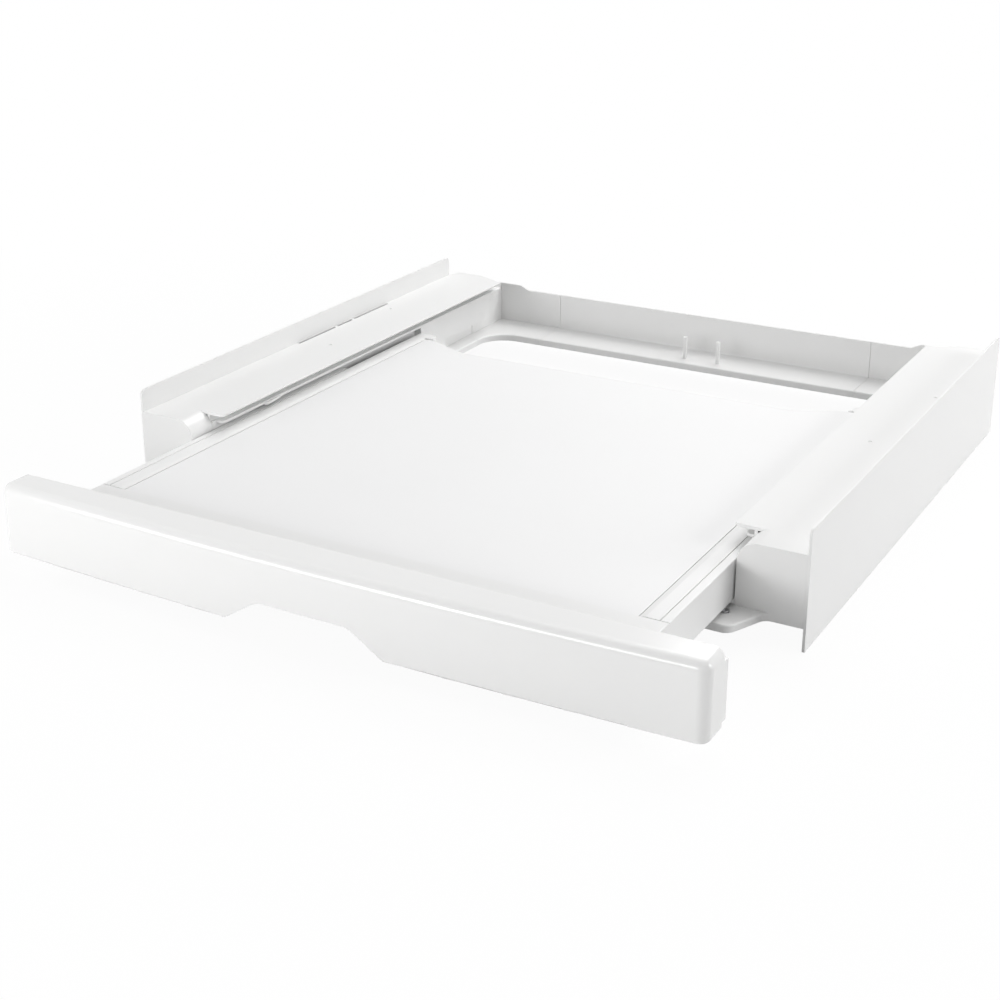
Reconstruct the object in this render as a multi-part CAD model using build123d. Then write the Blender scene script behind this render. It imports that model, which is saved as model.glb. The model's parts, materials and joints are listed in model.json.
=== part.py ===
from build123d import *
import os
from math import radians, tan

# Stacking kit that holds a tumble dryer on a washing machine, with a pull-out shelf between them.
# Millimetres. X runs across, Y from front to back, Z up. While the pieces are drawn, Y is 0 at the
# side plates' front edges and Z is 0 at their lower edges; every piece is moved to the kit's own
# origin, the middle of its footprint, when it is written. The shelf is drawn partly pulled out.

# Whole kit
kit_width = 600.0
plate_length = 515.0
plate_height = 94.5
plate_thickness = 2.0
plate_corner_radius = 5.0
wall = 2.5
seam_gap = 0.3

# Housings: the hollow side boxes with the ledges that the dryer's feet stand on
ledge_drop = 19.5
ledge_width = 66.0
ledge_rim = 0.8
ledge_edge_radius = 0.4
ledge_front_radius = 5.0
housing_bottom = 18.0
nose_width = 52.0
nose_length = 28.0
nose_corner_radius = 15.0
tail_length = 13.0
tail_outer_cut = (6.0, 14.0)
tail_inner_cut = (32.0, 15.0)
rib_thickness = 2.0
rib_count = 7
strap_path = 5.5

# Strap slots through each ledge beside the plate, and two small dimples near them
slots_front = 226.0
slot_lengths = (63.0, 26.0, 62.5)
slot_bridge = 3.9
slot_width = 3.0
slot_offset = 0.9
slot_end_radius = 1.2
dimples = ((32.0, 237.5), (16.0, 370.0))
dimple_radius = 1.6
dimple_depth = 0.5

# Guide rails between the housings and the tray
rail_web = 2.0
rail_drop = 9.0
rail_lift = 1.0
lip_thickness = 2.3
lip_reach = 7.5
lip_set_back = 6.0
lip_corner_radius = 5.0
lip_top_round = 0.9
lip_bottom_round = 0.6
lip_overrun = 10.0
floor_rise = 7.5
floor_width = 18.5
floor_front = 18.0
edge_drop = 6.7
edge_round = 1.6
bump_front = 94.0
bump_length = 24.0
bump_reach = 1.5
bump_drop = 1.0
bump_lead = 1.5
bump_crest = 9.0
shroud_length = 156.0
shroud_end_gap = 15.0
shroud_rise = 13.5
shroud_foot_length = 49.0
web_end_gap = 40.0
stop_width = 6.5
stop_height = 1.8

# Rear cross-member and its corner pieces
rear_wall_set_back = 11.5
rear_wall_height = 37.0
rear_tab_rise = 4.4
rear_tab_slope = (18.0, 8.5)
rear_tab_round = 3.0
flange_depth = 47.0
opening_corner_radius = 30.0
side_strip_length = 33.0
seam_inset = 57.5
tongue_length = 14.0
lug_centre = 6.5
lug_spacing = 36.0
lug_width = 3.8
lug_depth = 4.0
lug_height = 23.0
lug_corner_radius = 1.2
lug_stand_off = 33.5

# Front cross-member and the feet at its ends, which are moulded on the housings
foot_height = 6.0
foot_projection = 33.5
foot_corner_reach = 9.0
foot_root_reach = 23.5
foot_inner_reach = 13.5
foot_corner_radius = 9.0
foot_blend_radius = 8.0
foot_edge_round = 1.5
front_tie_length = 10.0

# Drawer: a tray with an inlaid board behind a bowed, hollow front panel
closed_gap = 13.0
closed_rear_gap = 48.0
rest_opening = 134.5
end_gap = 0.5
running_gap = 0.3
side_gap = 1.5
shroud_gap = 0.8
lip_clearance = 4.2
ear_length = 36.0
ear_width = 21.7
ear_corner_radius = 8.0
ear_tip_radius = 3.0
ear_root_radius = 6.0
slant_reach = 48.0
slant_rise = 22.5
slant_radius = 12.0
rim_round = 0.8
groove_width = 0.9
groove_depth = 0.9
board_thickness = 2.5
board_margin = 15.7
board_set_back = 34.0
board_gap = 0.7
board_sink = 0.7
board_edge_round = 0.4
ear_rim = 15.0
bevel_width = 4.2
tray_flange_width = 9.4
tray_flange_thickness = 2.0
tray_rib_height = 8.0
tray_ribs_along = 5
tray_ribs_across = 4
stop_lug_length = 12.0
glide_thickness = 2.0
glide_width = 6.0
glide_end_gap = 6.0

panel_side_gap = 3.0
panel_fall = 5.9
panel_rise = 10.5
panel_depth = 33.3
panel_bow = 8.0
panel_end_radius = 8.0
panel_top_radius = 4.0
panel_bottom_radius = 2.0
panel_wing = 6.0
panel_wing_inset = 5.0
panel_rib_spacing = 54.0
panel_rib_clearance = 4.0
notch_centre = -5.8
notch_half_width = 69.5
notch_height = 19.7
notch_angle = 33.0
notch_corner_radius = 15.0

# Fasteners and pads
screw_radius = 1.5
screw_head_radius = 3.2
screw_head_height = 1.9
screw_hole_gap = 0.1
screw_end_gap = 1.2
sunk_head_radius = 2.8
sunk_head_depth = 1.3
boss_radius = 4.2
plate_boss_length = 10.0
plate_tab_half_length = 9.0
rail_boss_length = 8.0
corner_screw_inset = 7.0
corner_screw_spacing = 10.0
seam_screw_inset = 14.0
front_screw_inset = 2.5
front_screw_set_back = 12.0
front_screw_recess = 1.0
drawer_screw_inset = 8.5
drawer_screw_spacing = 87.5
drawer_screws_each_side = 3
pad_thickness = 1.5
pad_width = 36.0
pad_end_gap = 22.0
pad_corner_radius = 4.5

# Worked out from the sizes above
plate_inner = kit_width / 2 - plate_thickness
ledge_top = plate_height - ledge_drop
ledge_under = ledge_top - wall
ledge_edge = plate_inner - ledge_width
nose_side = plate_inner - nose_width
housing_side = nose_side + rail_web
housing_end = plate_length + tail_length
tail_slope = tail_inner_cut[1] / tail_inner_cut[0]
bay_length = plate_length / (rib_count + 1)
slots_end = slots_front + sum(slot_lengths) + slot_bridge * (len(slot_lengths) - 1)

rail_top = ledge_top - rail_drop
rail_bottom = housing_bottom + rail_lift
rail_floor = housing_bottom + floor_rise
lip_edge = nose_side - lip_reach
lip_bottom = rail_top - lip_thickness
lip_front = nose_length + lip_set_back
floor_edge = housing_side - floor_width
edge_bottom = rail_floor - edge_drop
rail_end = plate_length + lip_overrun
web_end = plate_length - web_end_gap
shroud_end = plate_length - shroud_end_gap
shroud_front = plate_length - shroud_length
shroud_bottom = rail_floor + shroud_rise
bump_rear = bump_front + bump_length
stop_edge = nose_side - stop_width

rear_wall_face = housing_end + rear_wall_set_back
rear_wall_back = rear_wall_face + wall
rear_wall_top = rail_floor + rear_wall_height
rear_tab_top = rear_wall_top + rear_tab_rise
flange_front = rear_wall_face - flange_depth
corner_front = flange_front - side_strip_length
seam_place = floor_edge - seam_inset
lug_back = rear_wall_face - lug_stand_off + lug_depth

foot_top = housing_bottom + foot_height
foot_corner = nose_side + foot_corner_reach
foot_root = nose_side + foot_root_reach
foot_inner_end = nose_side - foot_inner_reach

panel_back = -closed_gap - rest_opening
panel_front = panel_back - panel_depth
panel_end_front = panel_front + panel_bow
panel_side = kit_width / 2 - panel_side_gap
tray_top = lip_bottom - lip_clearance
tray_bottom = rail_floor + running_gap + glide_thickness
tray_side = nose_side - side_gap
tray_rear_side = lip_edge - shroud_gap
tray_shoulder = shroud_front - rest_opening - end_gap
ear_rear = rear_wall_face - rest_opening - closed_rear_gap
tray_rear = ear_rear - ear_length
ear_inner_side = tray_rear_side - ear_width
deck_top = tray_top - board_thickness - board_sink
deck_bottom = deck_top - wall
board_front = panel_back + board_set_back
board_rear = ear_rear - ear_rim
board_half_width = tray_rear_side - board_margin
recess_half_width = board_half_width + board_gap
stop_lug_front = tray_shoulder - stop_lug_length
pull_out_travel = stop_lug_front - bump_rear - end_gap
panel_bottom = housing_bottom - panel_fall
panel_top = tray_top + panel_rise

hole_radius = screw_radius + screw_hole_gap
plate_screw_height = (housing_bottom + ledge_top) / 2
rail_screw_height = (rail_floor + lip_bottom) / 2
drawer_screw_height = (tray_bottom + deck_bottom) / 2
front_screw_x = nose_side - front_screw_inset
tongue_middle = seam_place - tongue_length / 2
centre_y = (panel_front + rear_wall_back) / 2


def face_of(points, rounded):
    """Flat face inside the corner points; rounded gives a radius by the corner's number."""
    radii = [rounded.get(number, 0.0) for number in range(len(points))]
    return make_face(FilletPolyline(*points, radius=radii, close=True))


def plan(points, low, high, rounded={}):
    """Prism over an outline of (x, y) points."""
    return Pos(0, 0, low) * extrude(face_of(points, rounded), high - low)


def lengthwise(points, front, back, rounded={}):
    """Prism from front to back over a section of (x, z) points."""
    return extrude(Plane.XZ.offset(-back) * face_of(points, rounded), back - front)


def crosswise(points, left, right, rounded={}):
    """Prism from left to right over a section of (y, z) points."""
    return extrude(Plane.YZ.offset(left) * face_of(points, rounded), right - left)


def rectangle(first, second):
    """Corner points of a rectangle between two spans, from the low corner round."""
    (left, right), (low, high) = first, second
    return [(left, low), (right, low), (right, high), (left, high)]


def block(x_span, y_span, z_span):
    """Square-edged block between three spans."""
    return plan(rectangle(x_span, y_span), *z_span)


def on_side(side, low, high):
    """Span between two distances from the middle, on the right (1) or the left (-1)."""
    return (low, high) if side > 0 else (-high, -low)


def rod_along_x(start, end, y, z, radius):
    return Pos((start + end) / 2, y, z) * Rot(0, 90, 0) * Cylinder(radius, end - start)


def rod_along_y(start, end, x, z, radius):
    return Pos(x, (start + end) / 2, z) * Rot(90, 0, 0) * Cylinder(radius, end - start)


def rod_along_z(start, end, x, y, radius):
    return Pos(x, y, (start + end) / 2) * Cylinder(radius, end - start)


def other_side(piece):
    """The same piece on the kit's left side."""
    return mirror(piece, about=Plane.YZ)


def bay_middle(bay):
    """Middle of one of the bays between a housing's cross ribs."""
    return (bay + 0.5) * bay_length


def plate_screw_points():
    """Places (y, z) of the side plate's screws: the middle of each bay clear of the strap slots."""
    middles = [bay_middle(bay) for bay in range(rib_count + 1)]
    before = [y for y in middles if y + plate_tab_half_length < slots_front]
    behind = [y for y in middles if y - plate_tab_half_length > slots_end]
    return [(y, plate_screw_height) for y in before + behind]


def rail_screw_points():
    """Places (y, z) of the screws that hold the guide rail's web, in every other bay."""
    return [(bay_middle(bay), rail_screw_height) for bay in range(1, rib_count, 2)]


def corner_screw_points():
    """Places (y, z) of the two screws that hold the rear corner piece to the housing."""
    last = shroud_end - corner_screw_inset
    return [(y, rail_screw_height) for y in (last - corner_screw_spacing, last)]


def seam_screw_points():
    """Places (x, y) of the two screws through the right seam's tongue."""
    along = (flange_front + seam_screw_inset, rear_wall_face - seam_screw_inset)
    return [(tongue_middle, y) for y in along]


def drawer_screw_points():
    """Places along x of the screws that hold the front panel to the tray."""
    outer = tray_side - drawer_screw_inset
    right = [outer - number * drawer_screw_spacing for number in range(drawer_screws_each_side)]
    return right + [-x for x in right]


def side_plate():
    """Thin outer plate: stands above the ledge and hangs beside the washing machine."""
    corners = rectangle((0.0, plate_length), (0.0, plate_height))
    rounded = {2: plate_corner_radius, 3: plate_corner_radius}
    plate = crosswise(corners, plate_inner, kit_width / 2, rounded)
    boss_end = plate_inner - plate_boss_length
    for place in plate_screw_points():
        plate += rod_along_x(boss_end, plate_inner, *place, boss_radius)
        plate -= rod_along_x(boss_end, plate_inner - wall, *place, hole_radius)
    return plate


def housing_nose():
    """Front end of the housing, closed in front and rounded towards the tray."""
    outside = rectangle((nose_side, plate_inner), (housing_bottom, ledge_top))
    nose = lengthwise(outside, 0.0, nose_length, {3: nose_corner_radius})
    inside = rectangle((nose_side + wall, plate_inner + wall), (housing_bottom - wall, ledge_under))
    return nose - lengthwise(inside, wall, nose_length + wall, {3: nose_corner_radius - wall})


def housing_trunk():
    """Ledge with its undercut edge and the inner wall, as one section, and the cross ribs."""
    section = [
        (ledge_edge, ledge_top),
        (ledge_edge, ledge_top - ledge_rim),
        (ledge_edge + wall - ledge_rim, ledge_under),
        (housing_side, ledge_under),
        (housing_side, housing_bottom),
        (housing_side + wall, housing_bottom),
        (housing_side + wall, ledge_under),
        (plate_inner, ledge_under),
        (plate_inner, ledge_top),
    ]
    trunk = lengthwise(section, nose_length, housing_end, {0: ledge_edge_radius})
    for number in range(1, rib_count + 1):
        middle = number * bay_length
        along = (middle - rib_thickness / 2, middle + rib_thickness / 2)
        across = (housing_side + wall, plate_inner - strap_path)
        trunk += block(across, along, (housing_bottom, ledge_under))
    return trunk


def tail_outline(inner_side):
    """Plan of the housing's rear end, with both corners cut back."""
    outer_x, outer_y = tail_outer_cut
    inner_x, inner_y = tail_inner_cut
    start = housing_end - inner_y + (inner_side - ledge_edge) * tail_slope
    return [
        (inner_side, plate_length - inner_y),
        (plate_inner, plate_length - inner_y),
        (plate_inner, housing_end - outer_y),
        (plate_inner - outer_x, housing_end),
        (ledge_edge + inner_x, housing_end),
        (inner_side, start),
    ]


def housing_foot():
    """Foot in front of the nose, blended into its face, that takes the front cross-member's end."""
    root = foot_root + 2 * foot_blend_radius
    outline = [
        (foot_inner_end, -foot_projection),
        (foot_corner, -foot_projection),
        (foot_root, 0.0),
        (root, 0.0),
        (root, wall),
        (foot_inner_end, wall),
    ]
    foot = plan(outline, housing_bottom, foot_top, {1: foot_corner_radius, 2: foot_blend_radius})
    rim = foot.edges().filter_by_position(Axis.Z, foot_top, foot_top)
    rim = rim.filter_by(lambda edge: edge.center().Y < 0 and edge.center().X > foot_inner_end + wall)
    foot = fillet(rim, foot_edge_round)
    hollow = [
        (foot_inner_end - wall, wall - foot_projection),
        (foot_corner - wall, wall - foot_projection),
        (foot_root - 2 * wall, -wall),
        (foot_inner_end - wall, -wall),
    ]
    return foot - plan(hollow, housing_bottom - wall, foot_top - wall, {1: foot_corner_radius - wall})


def plate_tabs():
    """Tabs under the ledge that the side plate's bosses are screwed to."""
    face = plate_inner - plate_boss_length
    tabs = Part()
    for y, z in plate_screw_points():
        along = (y - plate_tab_half_length, y + plate_tab_half_length)
        tab = block((face - wall, face), along, (z - plate_tab_half_length, ledge_under))
        tabs += tab - rod_along_x(face - 2 * wall, face + wall, y, z, hole_radius)
    return tabs


def ledge_openings():
    """Cutters for the strap slots and the dimples in the ledge's top."""
    outer = plate_inner - slot_offset
    cutters = Part()
    front = slots_front
    for length in slot_lengths:
        slot = rectangle((outer - slot_width, outer), (front, front + length))
        ends = {number: slot_end_radius for number in range(len(slot))}
        cutters += plan(slot, ledge_under - wall, ledge_top + wall, ends)
        front += length + slot_bridge
    for from_plate, along in dimples:
        cutters += rod_along_z(ledge_top - dimple_depth, ledge_top + wall, plate_inner - from_plate, along,
                               dimple_radius)
    return cutters


def housing():
    """Right side box: ledge, inner wall, nose, foot, closed tail, ribs and screw bosses."""
    box = housing_nose() + housing_trunk()
    tail = plan(tail_outline(housing_side), housing_bottom, ledge_under)
    hollow = make_face(Polyline(*tail_outline(housing_side), close=True))
    hollow = offset(hollow, -wall, kind=Kind.INTERSECTION)
    tail -= Pos(0, 0, housing_bottom - wall) * extrude(hollow, ledge_top - housing_bottom)
    box += tail & block((0, kit_width), (plate_length - wall, housing_end + wall), (0, ledge_top))

    ledge_plan = tail_outline(ledge_edge)
    beyond = block((ledge_edge - wall, kit_width), (ledge_plan[0][1], kit_width), (0, plate_height))
    box -= beyond - plan(ledge_plan, 0, plate_height)

    turn = (ledge_edge + ledge_front_radius, nose_length + ledge_front_radius)
    corner_heights = (rail_top, plate_height)
    front_corner = block((ledge_edge - wall, turn[0]), (nose_length - wall, turn[1]), corner_heights)
    box -= front_corner - rod_along_z(*corner_heights, *turn, ledge_front_radius)

    box += housing_foot() + plate_tabs()

    boss_start = housing_side + wall / 2
    boss_end = housing_side + wall + rail_boss_length
    for place in rail_screw_points() + corner_screw_points():
        box += rod_along_x(boss_start, boss_end, *place, boss_radius)
    for place in rail_screw_points() + corner_screw_points():
        box -= rod_along_x(housing_side - wall, boss_end - rib_thickness, *place, hole_radius)

    screw = (front_screw_x, -front_screw_set_back)
    recess_floor = foot_top - front_screw_recess
    box -= rod_along_z(recess_floor, foot_top + wall, *screw, screw_head_radius + front_screw_recess)
    box -= rod_along_z(housing_bottom, foot_top, *screw, hole_radius)
    return box - ledge_openings()


def rail_lip():
    """Overhanging lip: rounded front corner and edges, and the small bump near its front."""
    outer = housing_side
    outline = rectangle((lip_edge, outer), (lip_front, rail_end))
    lip = plan(outline, lip_bottom, rail_top, {0: lip_corner_radius})
    for height, radius in ((rail_top, lip_top_round), (lip_bottom, lip_bottom_round)):
        rim = lip.edges().filter_by_position(Axis.Z, height, height)
        rim = rim.filter_by(lambda edge: edge.center().X < outer - wall / 4)
        rim = rim.filter_by(lambda edge: edge.center().Y < rail_end - wall / 4)
        lip = fillet(rim, radius)
    crest = lip_edge - bump_reach
    bump = [
        (lip_edge + wall, bump_front),
        (lip_edge, bump_front),
        (crest, bump_front + bump_lead),
        (crest, bump_front + bump_crest),
        (lip_edge, bump_rear),
        (lip_edge + wall, bump_rear),
    ]
    return lip + plan(bump, lip_bottom - bump_drop, rail_top - lip_top_round)


def rail_floor_strip():
    """Floor that the tray's glides run on, with its inner edge turned down."""
    section = [
        (floor_edge, rail_floor),
        (housing_side, rail_floor),
        (housing_side, rail_floor - wall),
        (floor_edge + wall, rail_floor - wall),
        (floor_edge + wall, edge_bottom),
        (floor_edge, edge_bottom),
    ]
    strip = lengthwise(section, nose_length, corner_front - seam_gap, {0: edge_round})
    beside_nose = [(min(x, nose_side - seam_gap), z) for x, z in section]
    return strip + lengthwise(beside_nose, floor_front, nose_length, {0: edge_round})


def rail_shroud():
    """Boxed-in rear part of the rail, which narrows the way for the tray's ears."""
    outer = housing_side
    section = [
        (lip_edge, shroud_bottom),
        (outer, shroud_bottom),
        (outer, shroud_bottom + wall),
        (lip_edge + wall, shroud_bottom + wall),
        (lip_edge + wall, lip_bottom + wall / 2),
        (lip_edge, lip_bottom + wall / 2),
    ]
    skin = (lip_edge, lip_edge + wall)
    heights = (shroud_bottom, lip_bottom + wall / 2)
    foot_end = shroud_front + shroud_foot_length
    shroud = lengthwise(section, shroud_front, web_end)
    shroud += block(skin, (web_end - wall, shroud_end), heights)
    shroud += block(skin, (shroud_front, foot_end), (rail_floor - wall / 2, shroud_bottom + wall))
    ends = (rail_floor - wall / 2, lip_bottom + wall / 2)
    shroud += block((lip_edge, outer), (shroud_front, shroud_front + wall), ends)
    return shroud + block((lip_edge, outer), (foot_end - wall, foot_end), (ends[0], shroud_bottom + wall))


def guide_rail():
    """Channel for the tray: web, overhanging lip, floor with its end stop, and rear shroud."""
    outer = housing_side
    web = block((nose_side, outer), (nose_length, web_end), (rail_floor, rail_top))
    web += block((nose_side, outer), (nose_length, corner_front - seam_gap), (rail_bottom, rail_top))
    stop_heights = (rail_floor - wall / 2, rail_floor + stop_height)
    stop = block((stop_edge, outer), (bump_front, bump_rear), stop_heights)
    rail = web + rail_lip() + rail_floor_strip() + rail_shroud() + stop
    for place in rail_screw_points():
        rail -= rod_along_x(nose_side - wall, outer + wall, *place, hole_radius)
        rail -= sunk_head(screw_hole_gap, *place)
    return rail


def flange_section():
    """Section (y, z) through the rear cross-member: wall, flange and turned-down front edge."""
    return [
        (rear_wall_face, rail_floor),
        (flange_front, rail_floor),
        (flange_front, edge_bottom),
        (flange_front + wall, edge_bottom),
        (flange_front + wall, rail_floor - wall),
        (rear_wall_face, rail_floor - wall),
        (rear_wall_face, edge_bottom),
        (rear_wall_back, edge_bottom),
        (rear_wall_back, rear_wall_top),
        (rear_wall_face, rear_wall_top),
    ]


def rear_crossmember():
    """Angle between the rear corners, with two small upright lugs on its flange."""
    end = seam_place - seam_gap / 2
    member = crosswise(flange_section(), -end, end, {0: edge_round, 1: edge_round})
    for middle in (lug_centre - lug_spacing / 2, lug_centre + lug_spacing / 2):
        across = (middle - lug_width / 2, middle + lug_width / 2)
        outline = rectangle(across, (lug_back - lug_depth, lug_back))
        rounded = {number: lug_corner_radius for number in range(len(outline))}
        member += plan(outline, rail_floor - wall / 2, rail_floor + lug_height, rounded)
    for side in (-1, 1):
        for x, y in seam_screw_points():
            member -= rod_along_z(edge_bottom, rail_floor - wall / 4, side * x, y, hole_radius)
    return member


def corner_flange(start):
    """Flange of the corner piece, which turns forward beside the opening in a round sweep."""
    outline = [
        (start, flange_front),
        (floor_edge, flange_front),
        (floor_edge, corner_front),
        (housing_side, corner_front),
        (housing_side, rear_wall_back),
        (start, rear_wall_back),
    ]
    flange = plan(outline, edge_bottom, rail_floor, {1: opening_corner_radius})
    rim = flange.edges().filter_by_position(Axis.Z, rail_floor, rail_floor)
    rim = rim.filter_by(lambda edge: start + wall < edge.center().X < housing_side - wall)
    rim = rim.filter_by(lambda edge: corner_front + wall < edge.center().Y < rear_wall_face - wall)
    flange = fillet(rim, edge_round)
    under = [
        (start - wall, flange_front + wall),
        (floor_edge + wall, flange_front + wall),
        (floor_edge + wall, corner_front - wall),
        (housing_side + wall, corner_front - wall),
        (housing_side + wall, rear_wall_face),
        (start - wall, rear_wall_face),
    ]
    rounded = {1: opening_corner_radius + wall}
    return flange - plan(under, edge_bottom - wall, rail_floor - wall, rounded)


def rear_corner():
    """Right corner piece: raised wall end, swept flange, and the tab screwed to the housing."""
    start = seam_place + seam_gap / 2
    low_inset, high_inset = rear_tab_slope
    wall_outline = [
        (start, edge_bottom),
        (housing_side, edge_bottom),
        (housing_side, rear_tab_top),
        (floor_edge - high_inset, rear_tab_top),
        (floor_edge - low_inset, rear_wall_top),
        (start, rear_wall_top),
    ]
    rounded = {3: rear_tab_round, 4: rear_tab_round}
    corner = lengthwise(wall_outline, rear_wall_face, rear_wall_back, rounded)

    tab_bottom = rail_floor - wall / 2
    tab_outline = [
        (web_end + seam_gap, tab_bottom),
        (rear_wall_face + wall / 2, tab_bottom),
        (rear_wall_face + wall / 2, rear_tab_top),
        (rail_end + seam_gap, rear_tab_top),
        (rail_end + seam_gap, lip_bottom - seam_gap),
        (web_end + seam_gap, lip_bottom - seam_gap),
    ]
    tab = crosswise(tab_outline, housing_side - wall, housing_side)

    tongue_reach = (flange_front + 2 * wall, rear_wall_face - wall)
    tongue_top = rail_floor - wall
    tongue = block((start - tongue_length, start + wall), tongue_reach, (tongue_top - wall, tongue_top))
    hanger = block((start, start + wall), tongue_reach, (tongue_top - wall, rail_floor - wall / 2))
    piece = corner + corner_flange(start) + tab + tongue + hanger

    for place in corner_screw_points():
        piece -= rod_along_x(housing_side - 2 * wall, housing_side + wall, *place, hole_radius)
    for x, y in seam_screw_points():
        piece -= rod_along_z(tongue_top - 2 * wall, tongue_top + wall / 2, x, y, hole_radius)
    return piece


def front_crossmember():
    """Shallow hat section between the feet, with a tongue under each foot."""
    section = [
        (-foot_projection, foot_top),
        (-foot_projection, housing_bottom),
        (-foot_projection + wall, housing_bottom),
        (-foot_projection + wall, foot_top - wall),
        (-wall, foot_top - wall),
        (-wall, housing_bottom),
        (0.0, housing_bottom),
        (0.0, foot_top),
    ]
    end = foot_inner_end - seam_gap
    beam = crosswise(section, -end, end, {0: foot_edge_round})
    along = (-foot_projection + wall + seam_gap, -wall - seam_gap)
    tongue_top = foot_top - wall - seam_gap
    tongue_start = end - front_tie_length
    for side in (-1, 1):
        tongue = on_side(side, tongue_start, front_screw_x + boss_radius)
        beam += block(tongue, along, (housing_bottom, tongue_top))
        tie = on_side(side, tongue_start, tongue_start + wall)
        beam += block(tie, along, (housing_bottom, foot_top - wall / 2))
        hole_place = (side * front_screw_x, -front_screw_set_back)
        beam -= rod_along_z(housing_bottom + wall / 4, foot_top, *hole_place, hole_radius)
    return beam


def tray_outline(inset=0.0):
    """Plan of the tray: wide in front, narrower between the rails' shrouds, with two rear ears."""
    wide = tray_side - inset
    narrow = tray_rear_side - inset
    inner = ear_inner_side + inset
    slope = slant_rise / slant_reach
    right = [
        (wide, panel_back + inset),
        (wide, tray_shoulder - inset),
        (narrow, tray_shoulder - inset),
        (narrow, ear_rear - inset),
        (inner, ear_rear - inset),
        (inner, tray_rear - inset + slope * (slant_reach + inset)),
        (ear_inner_side - slant_reach, tray_rear - inset),
    ]
    right_radii = {
        3: ear_tip_radius - inset,
        4: ear_corner_radius - inset,
        5: ear_root_radius + inset,
        6: slant_radius + inset,
    }
    left = [(-x, y) for x, y in reversed(right)]
    last = 2 * len(right) - 1
    left_radii = {last - number: radius for number, radius in right_radii.items()}
    return right + left, {**right_radii, **left_radii}


def tray_shell():
    """Tray's outer form with its rounded rim, hollow below, with the board's recess in its top."""
    outline, rounded = tray_outline()
    shell = plan(outline, tray_bottom, tray_top, rounded)
    rim = shell.edges().filter_by_position(Axis.Z, tray_top, tray_top)
    sides = rim.filter_by(lambda edge: abs(edge.center().X) > tray_side - wall / 2)
    behind = rim.filter_by(lambda edge: edge.center().Y > tray_shoulder + wall)
    shell = fillet(sides + behind, rim_round)

    hollow, hollow_rounded = tray_outline(wall)
    shell -= plan(hollow, tray_bottom - wall, deck_bottom, hollow_rounded)
    recess_ends = (board_front - board_gap, board_rear + board_gap)
    shell -= block((-recess_half_width, recess_half_width), recess_ends, (deck_top, tray_top + wall))

    bevel_edge = recess_half_width + bevel_width
    bevel = [
        (recess_half_width, tray_top - board_sink),
        (bevel_edge, tray_top),
        (bevel_edge, tray_top + wall),
        (recess_half_width, tray_top + wall),
    ]
    bevel_cut = lengthwise(bevel, *recess_ends)
    shell -= bevel_cut
    shell -= other_side(bevel_cut)

    groove_ends = (board_front - groove_width, tray_shoulder + wall)
    groove_heights = (tray_top - groove_depth, tray_top + wall)
    groove_outer = tray_rear_side + groove_width / 2
    for side in (-1, 1):
        groove = on_side(side, groove_outer - groove_width, groove_outer)
        shell -= block(groove, groove_ends, groove_heights)
    front_groove = (board_front - groove_width, board_front)
    whole_width = (-tray_side - wall, tray_side + wall)
    return shell - block(whole_width, front_groove, groove_heights)


def tray():
    """Moulded tray: shell, bottom flanges, ribs, the lugs of the end stops and the screw holes."""
    shell = tray_shell()
    flange_heights = (tray_bottom, tray_bottom + tray_flange_thickness)
    flange_front_end = panel_back + wall / 2
    lug_heights = (rail_floor + running_gap, tray_bottom + tray_flange_thickness / 2)
    for side in (-1, 1):
        flange = on_side(side, tray_rear_side - tray_flange_width, tray_rear_side - wall / 2)
        shell += block(flange, (flange_front_end, ear_rear - wall), flange_heights)
        runner = on_side(side, tray_rear_side - wall, tray_side - wall / 2)
        shell += block(runner, (flange_front_end, tray_shoulder - wall / 2), flange_heights)
        lug = on_side(side, stop_edge, tray_side)
        shell += block(lug, (stop_lug_front, tray_shoulder), lug_heights)

    rib_heights = (deck_bottom - tray_rib_height, deck_bottom + wall / 2)
    for number in range(tray_ribs_along):
        middle = (ear_inner_side - slant_reach) * (2 * number / (tray_ribs_along - 1) - 1)
        rib = (middle - rib_thickness / 2, middle + rib_thickness / 2)
        shell += block(rib, (flange_front_end, tray_rear - wall / 2), rib_heights)
    for number in range(1, tray_ribs_across + 1):
        middle = panel_back + (tray_rear - panel_back) * number / (tray_ribs_across + 1)
        rib = (middle - rib_thickness / 2, middle + rib_thickness / 2)
        reach = tray_rear_side - wall / 2
        shell += block((-reach, reach), rib, rib_heights)
    for x in drawer_screw_points():
        shell -= rod_along_y(panel_back - wall, panel_back + 2 * wall, x, drawer_screw_height, hole_radius)
    return shell


def shelf_board():
    """Inlaid board that makes the working surface; its rear edge follows the tray's."""
    outline, rounded = tray_outline()
    board = plan(outline, deck_top, tray_top - board_sink, rounded)
    board &= block((-board_half_width, board_half_width), (board_front, board_rear), (deck_top, tray_top))
    rim = board.edges().filter_by_position(Axis.Z, tray_top - board_sink, tray_top - board_sink)
    sides = rim.filter_by(lambda edge: abs(edge.center().X) > board_half_width - board_gap)
    front = rim.filter_by(lambda edge: edge.center().Y < board_front + board_gap)
    return fillet(sides + front, board_edge_round)


def glide():
    """Low-friction strip under the tray's right side, which slides on the rail's floor."""
    outer = tray_rear_side - board_gap
    ends = (panel_back + wall + glide_end_gap, ear_rear - glide_end_gap)
    strip = rectangle((outer - glide_width, outer), ends)
    rounded = {number: glide_width / 3 for number in range(len(strip))}
    return plan(strip, tray_bottom - glide_thickness, tray_bottom, rounded)


def panel_outline(inset=0.0):
    """Plan of the front panel: straight back edge, bowed front face, square ends."""
    side = panel_side - inset
    corner_y = panel_end_front + inset
    bow = ThreePointArc((-side, corner_y), (0, panel_front + inset), (side, corner_y))
    straight = Polyline((side, corner_y), (side, panel_back), (-side, panel_back), (-side, corner_y))
    return make_face(Curve() + [bow, straight])


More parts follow.
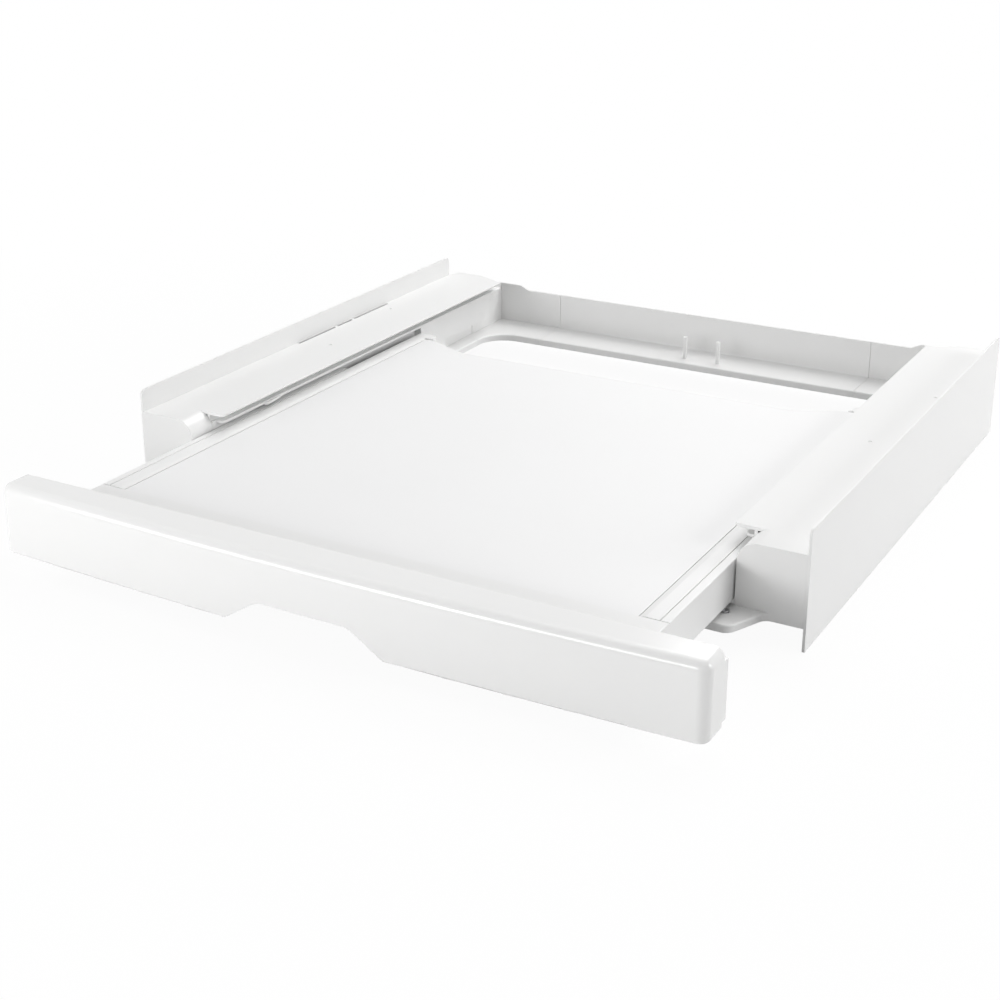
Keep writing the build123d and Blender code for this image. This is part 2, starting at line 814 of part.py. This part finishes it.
def panel_body(inset, low, high):
    """Bowed body of the panel with rounded ends and top, or its hollow when inset by the wall."""
    body = Pos(0, 0, low) * extrude(panel_outline(inset), high - low)
    uprights = body.edges().filter_by(Axis.Z).filter_by(lambda edge: edge.center().Y < panel_back - wall)
    body = fillet(uprights, panel_end_radius - inset)
    top_rim = body.edges().filter_by_position(Axis.Z, high, high)
    top_rim = top_rim.filter_by(lambda edge: edge.center().Y < panel_back - wall / 2)
    return fillet(top_rim, panel_top_radius - inset)


def notch_cut():
    """Finger notch in the lower edge: a flat-topped trapezoid with soft corners."""
    slope = tan(radians(notch_angle))
    below = panel_bottom - wall
    top = panel_bottom + notch_height
    wide = notch_half_width + wall / slope
    narrow = notch_half_width - notch_height / slope
    section = [
        (notch_centre - wide, below),
        (notch_centre + wide, below),
        (notch_centre + narrow, top),
        (notch_centre - narrow, top),
    ]
    rounded = {2: notch_corner_radius, 3: notch_corner_radius}
    return lengthwise(section, panel_front - wall, panel_back + wall, rounded)


def drawer_front():
    """Hollow moulded front panel, open behind and below, with ribs, bosses and the finger notch."""
    panel = panel_body(0.0, panel_bottom, panel_top)
    lower_rim = panel.edges().filter_by_position(Axis.Z, panel_bottom, panel_bottom)
    lower_rim = lower_rim.filter_by(lambda edge: edge.center().Y < panel_back - wall / 2)
    panel = fillet(lower_rim, panel_bottom_radius)
    back_lip = block((-panel_side, panel_side), (panel_back - wall, panel_back + wall),
                     (tray_top + end_gap, panel_top))
    hollow = panel_body(wall, panel_bottom - 2 * wall, panel_top - wall)
    panel -= hollow - back_lip

    wing_heights = (panel_bottom + panel_wing_inset, panel_top - panel_wing_inset)
    for side in (-1, 1):
        wing = on_side(side, panel_side - wall, panel_side)
        panel += block(wing, (panel_back - wall / 2, panel_back + panel_wing), wing_heights)

    rib_low = foot_top + panel_rib_clearance
    above_notch = panel_bottom + notch_height + wall
    core = panel_body(wall / 2, panel_bottom, panel_top - wall / 2)
    ribs = int(panel_side // panel_rib_spacing)
    for number in range(-ribs, ribs):
        middle = (number + 0.5) * panel_rib_spacing
        near_notch = abs(middle - notch_centre) < notch_half_width + wall
        low = max(rib_low, above_notch) if near_notch else rib_low
        across = (middle - rib_thickness / 2, middle + rib_thickness / 2)
        if abs(middle) < tray_side:
            panel += core & block(across, (panel_front, panel_back), (low, panel_top - wall / 2))
    for x in drawer_screw_points():
        panel += core & rod_along_y(panel_front, panel_back, x, drawer_screw_height, boss_radius)
    for x in drawer_screw_points():
        hole_end = panel_back - panel_depth / 2
        panel -= rod_along_y(hole_end, panel_back + wall, x, drawer_screw_height, hole_radius)
    return panel - notch_cut()


def base_pad():
    """Anti-slip strip under the right housing."""
    outer = plate_inner - strap_path
    strip = rectangle((outer - pad_width, outer), (pad_end_gap, plate_length - pad_end_gap))
    rounded = {number: pad_corner_radius for number in range(len(strip))}
    return plan(strip, housing_bottom - pad_thickness, housing_bottom, rounded)


def screw_along_x(seat, end, y, z):
    """Pan-head screw driven outward, its head's seat at the given place."""
    head = rod_along_x(seat - screw_head_height, seat, y, z, screw_head_radius)
    return head + rod_along_x(seat - screw_head_height / 2, end, y, z, screw_radius)


def sunk_head(gap, y, z):
    """Cone of a countersunk head in the rail's web, grown by a gap where it cuts the hole."""
    cone = Cone(sunk_head_radius + gap, screw_radius + gap, sunk_head_depth)
    return Pos(nose_side + sunk_head_depth / 2, y, z) * Rot(0, 90, 0) * cone


def side_plate_screws():
    seat = plate_inner - plate_boss_length - wall
    end = plate_inner - wall - screw_end_gap
    return [screw_along_x(seat, end, *place) for place in plate_screw_points()]


def guide_rail_screws():
    end = housing_side + rail_boss_length - screw_end_gap
    start = nose_side + sunk_head_depth / 2
    places = rail_screw_points()
    return [sunk_head(0.0, *place) + rod_along_x(start, end, *place, screw_radius) for place in places]


def rear_corner_screws():
    end = housing_side + rail_boss_length - screw_end_gap
    return [screw_along_x(housing_side - wall, end, *place) for place in corner_screw_points()]


def rear_seam_screws():
    seat = rail_floor - 2 * wall
    screws = []
    for x, y in seam_screw_points():
        head = rod_along_z(seat - screw_head_height, seat, x, y, screw_head_radius)
        screws.append(head + rod_along_z(seat - wall / 2, rail_floor - wall / 2, x, y, screw_radius))
    return screws


def front_crossmember_screws():
    place = (front_screw_x, -front_screw_set_back)
    seat = foot_top - front_screw_recess
    head = rod_along_z(seat, seat + screw_head_height, *place, screw_head_radius)
    head -= rod_along_z(seat + screw_head_height / 2, seat + wall, *place, screw_radius)
    shank = rod_along_z(housing_bottom + screw_end_gap, seat + screw_head_height / 4, *place, screw_radius)
    return [head + shank]


def drawer_front_screws():
    seat = panel_back + wall
    shank_end = panel_back - panel_depth / 2 + screw_end_gap
    screws = []
    for x in drawer_screw_points():
        head = rod_along_y(seat, seat + screw_head_height, x, drawer_screw_height, screw_head_radius)
        shank = rod_along_y(shank_end, seat + screw_head_height / 2, x, drawer_screw_height, screw_radius)
        screws.append(head + shank)
    return screws


def write(name, pieces):
    """Write one node, moved to the kit's own origin."""
    solids = [Pos(0, -centre_y, 0) * piece for piece in pieces]
    shape = solids[0] if len(solids) == 1 else Compound(children=solids)
    export_step(shape, f"parts/{name}.step")


os.makedirs("parts", exist_ok=True)
for name, make in {
    "side_plate": side_plate,
    "housing": housing,
    "guide_rail": guide_rail,
    "rear_corner": rear_corner,
    "base_pad": base_pad,
    "tray_glide": glide,
}.items():
    right_piece = make()
    write(f"right_{name}", [right_piece])
    write(f"left_{name}", [other_side(right_piece)])

for name, make in {
    "rear_crossmember": rear_crossmember,
    "front_crossmember": front_crossmember,
    "drawer_front": drawer_front,
    "drawer_tray": tray,
    "shelf_board": shelf_board,
}.items():
    write(name, [make()])

for name, make in {
    "side_plate_screws": side_plate_screws,
    "guide_rail_screws": guide_rail_screws,
    "rear_corner_screws": rear_corner_screws,
    "rear_seam_screws": rear_seam_screws,
    "front_crossmember_screws": front_crossmember_screws,
}.items():
    right_screws = make()
    write(name, right_screws + [other_side(screw) for screw in right_screws])
write("drawer_front_screws", drawer_front_screws())

print("drawer travel: out", round(pull_out_travel, 2), "in", round(rest_opening, 2))
print("centre of the footprint, from the plates' front edges:", round(centre_y, 2))
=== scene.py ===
import json
import math

import bpy
from mathutils import Matrix, Vector

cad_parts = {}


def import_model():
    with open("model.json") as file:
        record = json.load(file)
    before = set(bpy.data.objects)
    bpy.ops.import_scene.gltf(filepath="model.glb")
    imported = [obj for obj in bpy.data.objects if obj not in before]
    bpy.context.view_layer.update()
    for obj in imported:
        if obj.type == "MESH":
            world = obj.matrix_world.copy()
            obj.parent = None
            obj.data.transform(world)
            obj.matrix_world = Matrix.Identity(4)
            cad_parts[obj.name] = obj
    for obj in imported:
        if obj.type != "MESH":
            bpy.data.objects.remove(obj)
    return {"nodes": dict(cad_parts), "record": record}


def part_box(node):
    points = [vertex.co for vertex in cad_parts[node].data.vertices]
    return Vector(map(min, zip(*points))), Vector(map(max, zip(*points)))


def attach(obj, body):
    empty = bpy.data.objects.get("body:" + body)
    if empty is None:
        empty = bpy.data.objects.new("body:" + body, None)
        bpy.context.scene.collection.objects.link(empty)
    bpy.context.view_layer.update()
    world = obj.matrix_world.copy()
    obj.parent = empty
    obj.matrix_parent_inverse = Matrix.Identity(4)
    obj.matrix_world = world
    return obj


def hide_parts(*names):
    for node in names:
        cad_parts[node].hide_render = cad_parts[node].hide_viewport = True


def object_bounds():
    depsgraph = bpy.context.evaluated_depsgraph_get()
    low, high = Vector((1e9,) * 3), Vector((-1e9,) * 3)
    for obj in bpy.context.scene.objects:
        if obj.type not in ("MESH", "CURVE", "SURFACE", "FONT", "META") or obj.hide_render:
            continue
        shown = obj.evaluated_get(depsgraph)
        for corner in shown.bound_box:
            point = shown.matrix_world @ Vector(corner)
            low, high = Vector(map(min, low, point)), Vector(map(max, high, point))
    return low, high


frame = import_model()
cad_low, cad_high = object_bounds()
nodes = frame["nodes"]
MM = 0.001

# What all finishes share: drift of colour and gloss, clouds, grain and the softening of sharp edges
TINT_DRIFT = 0.01
SHEEN_DRIFT = 0.1
CLOUDS_PER_METRE = 9.0
CLOUD_DETAIL = 3.0
CLOUD_ROUGHNESS = 0.55
GRAIN_DETAIL = 2.0
EDGE_RADIUS = 0.35 * MM
EDGE_SAMPLES = 6
REFRACTIVE_INDEX = 1.5

# Finish of each slot: colour, roughness, grain size and grain depth
LOOKS = {
    "plate_white": ((0.87, 0.87, 0.865), 0.31, 0.6 * MM, 0.004 * MM),
    "housing_white": ((0.85, 0.85, 0.845), 0.31, 0.6 * MM, 0.008 * MM),
    "rail_white": ((0.85, 0.85, 0.845), 0.31, 0.6 * MM, 0.008 * MM),
    "frame_white": ((0.84, 0.84, 0.835), 0.32, 0.6 * MM, 0.008 * MM),
    "panel_white": ((0.89, 0.89, 0.885), 0.16, 0.8 * MM, 0.003 * MM),
    "tray_white": ((0.88, 0.88, 0.875), 0.32, 0.6 * MM, 0.008 * MM),
    "board_white": ((0.89, 0.89, 0.89), 0.42, 0.5 * MM, 0.012 * MM),
    "glide_nylon": ((0.62, 0.62, 0.59), 0.45, 0.5 * MM, 0.008 * MM),
    "pad_rubber": ((0.035, 0.035, 0.035), 0.75, 0.9 * MM, 0.05 * MM),
    "screw_steel": ((0.55, 0.55, 0.56), 0.30, 0.3 * MM, 0.004 * MM),
}

# Drawer front as modelled: bow, end radius, top rounding, and the wings at its ends
PANEL_BOW = 8 * MM
PANEL_END_RADIUS = 8 * MM
MODELLED_ROUNDING = 4 * MM
WING_DROP = 5 * MM
WING_WIDTH = 2.6 * MM
# Drawer front as shown: the rounding reaches further in and down, and the wings start lower
SHOWN_DEPTH = 7 * MM
SHOWN_HEIGHT = 8 * MM
SHOWN_WING_DROP = 9 * MM
DEEPER = SHOWN_DEPTH / MODELLED_ROUNDING
TALLER = SHOWN_HEIGHT / MODELLED_ROUNDING
# How far off a vertex may lie and still count as on a level, or as on the rounding
LEVEL_SLACK = 0.02 * MM
ARC_SLACK = 0.15 * MM

FLOOR_HALF = 30.0
FLOOR_DROP = 0.2 * MM
FLOOR_ROUGHNESS = 0.9
FADE_SPAN = (0.45, 1.1)
GLOW_NEAR, GLOW_FAR = 0.95, 1.0
BOUNCED_TONE, SEEN_TONE = 0.7, 0.95
# Floor hidden below the tray: the soft edges of that area, and the share of the glow kept there
TRAY_SIDE_SPAN = (0.228, 0.262)
TRAY_FRONT_SPAN = (-0.165, -0.13)
TRAY_REAR_SPAN = (0.10, 0.15)
GLOW_BELOW_TRAY = 0.2

# Lamps in metres and watts: place, width and height, power. All look at the footprint's middle
WORLD_LEVEL = 0.22
LAMP_TARGET = (0, 0, 0)
LAMPS = {
    "top_lamp": ((0, 0.3, 2.6), (2.0, 2.0), 13),
    "top_rear_lamp": ((0, 1.7, 2.0), (1.6, 1.6), 29),
    "top_right_lamp": ((0.8, 1.2, 2.3), (1.6, 1.6), 9),
    "low_left_lamp": ((-0.9, -1.6, 0.35), (0.9, 0.5), 8),
    "low_front_lamp": ((-0.4, -2.1, 0.5), (1.0, 0.5), 11.5),
    "right_lamp": ((2.4, 0.6, 0.9), (1.0, 1.0), 24),
}

# Camera fitted to the photograph: turns in degrees and place in metres
YAW, PITCH, ROLL = 30.88, 20.06, -0.465
CAMERA_PLACE = (0.6364, -1.2285, 0.5688)
# Its lens, with the middle of the view, in pixels of a picture this wide and high
PICTURE_PIXELS = 1000.0
FOCAL_PIXELS = 1700.4
VIEW_MIDDLE = (450.0, 420.0)
SENSOR_MILLIMETRES = 36.0


def material(name):
    """New node material with its tree and its shader."""
    mat = bpy.data.materials.new(name)
    mat.use_nodes = True
    tree = mat.node_tree
    return mat, tree, tree.nodes["Principled BSDF"]


def add(tree, kind, **values):
    """New node. Each value goes to its property of that name, or else to its input of that name."""
    node = tree.nodes.new(kind)
    for key, value in values.items():
        if hasattr(node, key):
            setattr(node, key, value)
        else:
            node.inputs[key].default_value = value
    return node


def combine(tree, operation, first, second):
    """Output of a maths node that combines two outputs."""
    node = add(tree, "ShaderNodeMath", operation=operation)
    tree.links.new(first, node.inputs[0])
    tree.links.new(second, node.inputs[1])
    return node.outputs[0]


def ramp(tree, source, span, low, high):
    """Output that goes softly from low to high while the source crosses the span."""
    node = add(tree, "ShaderNodeMapRange", interpolation_type="SMOOTHSTEP")
    node.inputs["From Min"].default_value = span[0]
    node.inputs["From Max"].default_value = span[1]
    node.inputs["To Min"].default_value = low
    node.inputs["To Max"].default_value = high
    tree.links.new(source, node.inputs["Value"])
    return node.outputs["Result"]


def finish(name, colour, roughness, grain_size, grain_depth):
    """Surface with fine grain, faint clouds in its colour, an uneven sheen and softened edges."""
    mat, tree, shader = material(name)
    place = add(tree, "ShaderNodeTexCoord")
    grain = add(tree, "ShaderNodeTexNoise", Scale=1 / grain_size, Detail=GRAIN_DETAIL)
    cloud = add(tree, "ShaderNodeTexNoise", Scale=CLOUDS_PER_METRE, Detail=CLOUD_DETAIL,
                Roughness=CLOUD_ROUGHNESS)
    tree.links.new(place.outputs["Object"], grain.inputs["Vector"])
    tree.links.new(place.outputs["Object"], cloud.inputs["Vector"])

    tint = add(tree, "ShaderNodeMix", data_type="RGBA")
    tint.inputs["A"].default_value = (*[part * (1 - TINT_DRIFT) for part in colour], 1)
    tint.inputs["B"].default_value = (*[part * (1 + TINT_DRIFT) for part in colour], 1)
    tree.links.new(cloud.outputs["Fac"], tint.inputs["Factor"])
    tree.links.new(tint.outputs["Result"], shader.inputs["Base Color"])

    sheen = add(tree, "ShaderNodeMapRange")
    sheen.inputs["To Min"].default_value = roughness * (1 - SHEEN_DRIFT)
    sheen.inputs["To Max"].default_value = roughness * (1 + SHEEN_DRIFT)
    tree.links.new(cloud.outputs["Fac"], sheen.inputs["Value"])
    tree.links.new(sheen.outputs["Result"], shader.inputs["Roughness"])

    bump = add(tree, "ShaderNodeBump", Strength=1.0, Distance=grain_depth)
    edges = add(tree, "ShaderNodeBevel", samples=EDGE_SAMPLES, Radius=EDGE_RADIUS)
    tree.links.new(edges.outputs["Normal"], bump.inputs["Normal"])
    tree.links.new(grain.outputs["Fac"], bump.inputs["Height"])
    tree.links.new(bump.outputs["Normal"], shader.inputs["Normal"])
    shader.inputs["IOR"].default_value = REFRACTIVE_INDEX
    return mat


def finish_nodes():
    """Give every CAD node the finish of its slot."""
    finishes = {slot: finish(slot, *look) for slot, look in LOOKS.items()}
    steel = finishes["screw_steel"].node_tree.nodes["Principled BSDF"]
    steel.inputs["Metallic"].default_value = 1.0
    for part in frame["record"]["subparts"]:
        slots = nodes[part["node"]].data.materials
        slots.clear()
        slots.append(finishes[part["material_slot"]])


def panel_outline(half, front):
    """Function that gives the nearest point of the bowed panel's outline, and the way in there."""
    bow_radius = (half ** 2 + PANEL_BOW ** 2) / (2 * PANEL_BOW)
    bow_centre = front + bow_radius
    corner_x = half - PANEL_END_RADIUS
    corner_y = bow_centre - math.sqrt((bow_radius - PANEL_END_RADIUS) ** 2 - corner_x ** 2)

    def nearest(x, y):
        side = math.copysign(1, x)
        if abs(x) > corner_x and y > corner_y:
            return (side * half, y), (-side, 0)
        centre, radius = (0, bow_centre), bow_radius
        if abs(x) > corner_x:
            centre, radius = (side * corner_x, corner_y), PANEL_END_RADIUS
        away = (x - centre[0], y - centre[1])
        length = math.hypot(*away)
        unit = (away[0] / length, away[1] / length)
        return (centre[0] + unit[0] * radius, centre[1] + unit[1] * radius), (-unit[0], -unit[1])

    return nearest


def widen_rounding(mesh):
    """Move the top rounding and the wings, and give the way in at each vertex of the rounding."""
    low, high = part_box("drawer_front")
    half, front, top = high[0], low[1], high[2]
    nearest = panel_outline(half, front)
    reach = MODELLED_ROUNDING + LEVEL_SLACK
    inwards = {}
    for vertex in mesh.vertices:
        x, y, z = vertex.co
        drop = top - z
        if abs(drop - WING_DROP) < LEVEL_SLACK and abs(x) > half - WING_WIDTH:
            vertex.co.z = top - SHOWN_WING_DROP
        if drop > reach:
            continue
        edge, inward = nearest(x, y)
        depth = math.hypot(x - edge[0], y - edge[1])
        off_arc = math.hypot(MODELLED_ROUNDING - depth, MODELLED_ROUNDING - drop) - MODELLED_ROUNDING
        if depth < reach and abs(off_arc) < ARC_SLACK:
            shown = depth * DEEPER
            vertex.co = (edge[0] + inward[0] * shown, edge[1] + inward[1] * shown, top - drop * TALLER)
            inwards[vertex.index] = Vector((*inward, 0))
    return inwards


def widen_normals(mesh, normals, inwards):
    """Turn the corner normals on the rounding to suit its wider shape."""
    for loop in mesh.loops:
        inward = inwards.get(loop.vertex_index)
        if inward:
            normal = normals[loop.index]
            sideways = normal.dot(inward)
            normal += inward * (sideways / DEEPER - sideways)
            normal.z /= TALLER
            normal.normalize()
    mesh.normals_split_custom_set([tuple(normal) for normal in normals])


def full_rounded_panel():
    """Drawer front shown with its top rounding as full as in the photograph."""
    mesh = nodes["drawer_front"].data.copy()
    mesh.name = "full_rounded_panel"
    normals = [Vector(corner.vector) for corner in mesh.corner_normals]
    inwards = widen_rounding(mesh)
    widen_normals(mesh, normals, inwards)
    obj = bpy.data.objects.new("full_rounded_panel", mesh)
    bpy.context.collection.objects.link(obj)
    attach(obj, "drawer")
    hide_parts("drawer_front")


def camera():
    """Camera at the photograph's viewing angle."""
    yaw, pitch, roll = (math.radians(angle) for angle in (YAW, PITCH, ROLL))
    level = math.cos(pitch)
    ahead = Vector((-math.sin(yaw) * level, math.cos(yaw) * level, -math.sin(pitch)))
    across = Vector((math.cos(yaw), math.sin(yaw), 0))
    up = across.cross(ahead)
    rolled_across = across * math.cos(roll) + up * math.sin(roll)
    rolled_up = up * math.cos(roll) - across * math.sin(roll)

    data = bpy.data.cameras.new("camera")
    data.sensor_width = SENSOR_MILLIMETRES
    data.lens = FOCAL_PIXELS / PICTURE_PIXELS * SENSOR_MILLIMETRES
    data.shift_x = (PICTURE_PIXELS / 2 - VIEW_MIDDLE[0]) / PICTURE_PIXELS
    data.shift_y = (VIEW_MIDDLE[1] - PICTURE_PIXELS / 2) / PICTURE_PIXELS
    obj = bpy.data.objects.new("camera", data)
    axes = Matrix((rolled_across, rolled_up, -ahead)).transposed().to_4x4()
    obj.matrix_world = Matrix.Translation(CAMERA_PLACE) @ axes
    bpy.context.collection.objects.link(obj)
    bpy.context.scene.camera = obj


def seen_ray(tree):
    """Output that is 1 for camera, glossy and transmission rays, and 0 for bounced light."""
    path = add(tree, "ShaderNodeLightPath").outputs
    first = combine(tree, "MAXIMUM", path["Is Camera Ray"], path["Is Glossy Ray"])
    return combine(tree, "MAXIMUM", first, path["Is Transmission Ray"])


def open_floor(tree, place):
    """Output that is 1 on open floor and low on the floor hidden below the tray."""
    split = add(tree, "ShaderNodeSeparateXYZ")
    tree.links.new(place, split.inputs[0])
    aside = add(tree, "ShaderNodeMath", operation="ABSOLUTE")
    tree.links.new(split.outputs["X"], aside.inputs[0])
    across = ramp(tree, aside.outputs[0], TRAY_SIDE_SPAN, 1.0, 0.0)
    front = ramp(tree, split.outputs["Y"], TRAY_FRONT_SPAN, 0.0, 1.0)
    rear = ramp(tree, split.outputs["Y"], TRAY_REAR_SPAN, 1.0, 0.0)
    along = combine(tree, "MULTIPLY", front, rear)
    covered = combine(tree, "MULTIPLY", along, across)
    return ramp(tree, covered, (0.0, 1.0), 1.0, GLOW_BELOW_TRAY)


def floor_finish():
    mat, tree, shader = material("floor_pale")
    shader.inputs["Roughness"].default_value = FLOOR_ROUGHNESS
    seen = seen_ray(tree)
    pale = add(tree, "ShaderNodeMix", data_type="RGBA")
    pale.inputs["A"].default_value = (BOUNCED_TONE, BOUNCED_TONE, BOUNCED_TONE, 1)
    pale.inputs["B"].default_value = (SEEN_TONE, SEEN_TONE, SEEN_TONE, 1)
    tree.links.new(seen, pale.inputs["Factor"])
    tree.links.new(pale.outputs["Result"], shader.inputs["Base Color"])

    place = add(tree, "ShaderNodeTexCoord").outputs["Object"]
    distance = add(tree, "ShaderNodeVectorMath", operation="LENGTH")
    tree.links.new(place, distance.inputs[0])
    fade = ramp(tree, distance.outputs["Value"], FADE_SPAN, GLOW_NEAR, GLOW_FAR)
    share = combine(tree, "MULTIPLY", fade, open_floor(tree, place))

    glow = add(tree, "ShaderNodeEmission", Strength=1.0)
    glow.inputs["Color"].default_value = (1, 1, 1, 1)
    mix = add(tree, "ShaderNodeMixShader")
    tree.links.new(combine(tree, "MULTIPLY", share, seen), mix.inputs["Fac"])
    tree.links.new(shader.outputs["BSDF"], mix.inputs[1])
    tree.links.new(glow.outputs["Emission"], mix.inputs[2])
    tree.links.new(mix.outputs["Shader"], tree.nodes["Material Output"].inputs["Surface"])
    return mat


def floor():
    """Plain pale floor that fades to white away from the object and keeps its shadow."""
    mesh = bpy.data.meshes.new("floor")
    corners = [(x * FLOOR_HALF, y * FLOOR_HALF, 0) for x, y in ((-1, -1), (1, -1), (1, 1), (-1, 1))]
    mesh.from_pydata(corners, [], [(0, 1, 2, 3)])
    obj = bpy.data.objects.new("floor", mesh)
    bpy.context.collection.objects.link(obj)
    obj.location.z = cad_low.z - FLOOR_DROP
    mesh.materials.append(floor_finish())


def world():
    """Even pale surroundings, seen as plain white."""
    sky = bpy.data.worlds.new("studio")
    bpy.context.scene.world = sky
    sky.use_nodes = True
    tree = sky.node_tree
    dim = tree.nodes["Background"]
    dim.inputs["Color"].default_value = (1, 1, 1, 1)
    dim.inputs["Strength"].default_value = WORLD_LEVEL
    white = add(tree, "ShaderNodeBackground", Strength=1.0)
    white.inputs["Color"].default_value = (1, 1, 1, 1)
    mix = add(tree, "ShaderNodeMixShader")
    tree.links.new(seen_ray(tree), mix.inputs["Fac"])
    tree.links.new(dim.outputs["Background"], mix.inputs[1])
    tree.links.new(white.outputs["Background"], mix.inputs[2])
    tree.links.new(mix.outputs["Shader"], tree.nodes["World Output"].inputs["Surface"])


def softbox(name, place, size, power):
    """Soft rectangular studio lamp."""
    lamp = bpy.data.lights.new(name, "AREA")
    lamp.shape = "RECTANGLE"
    lamp.size, lamp.size_y = size
    lamp.energy = power
    obj = bpy.data.objects.new(name, lamp)
    obj.location = place
    ahead = Vector(LAMP_TARGET) - Vector(place)
    obj.rotation_euler = ahead.to_track_quat("-Z", "Y").to_euler()
    bpy.context.collection.objects.link(obj)


finish_nodes()
full_rounded_panel()
camera()
floor()
world()
for lamp_name, lamp in LAMPS.items():
    softbox(lamp_name, *lamp)
bpy.context.scene.view_settings.view_transform = "Standard"
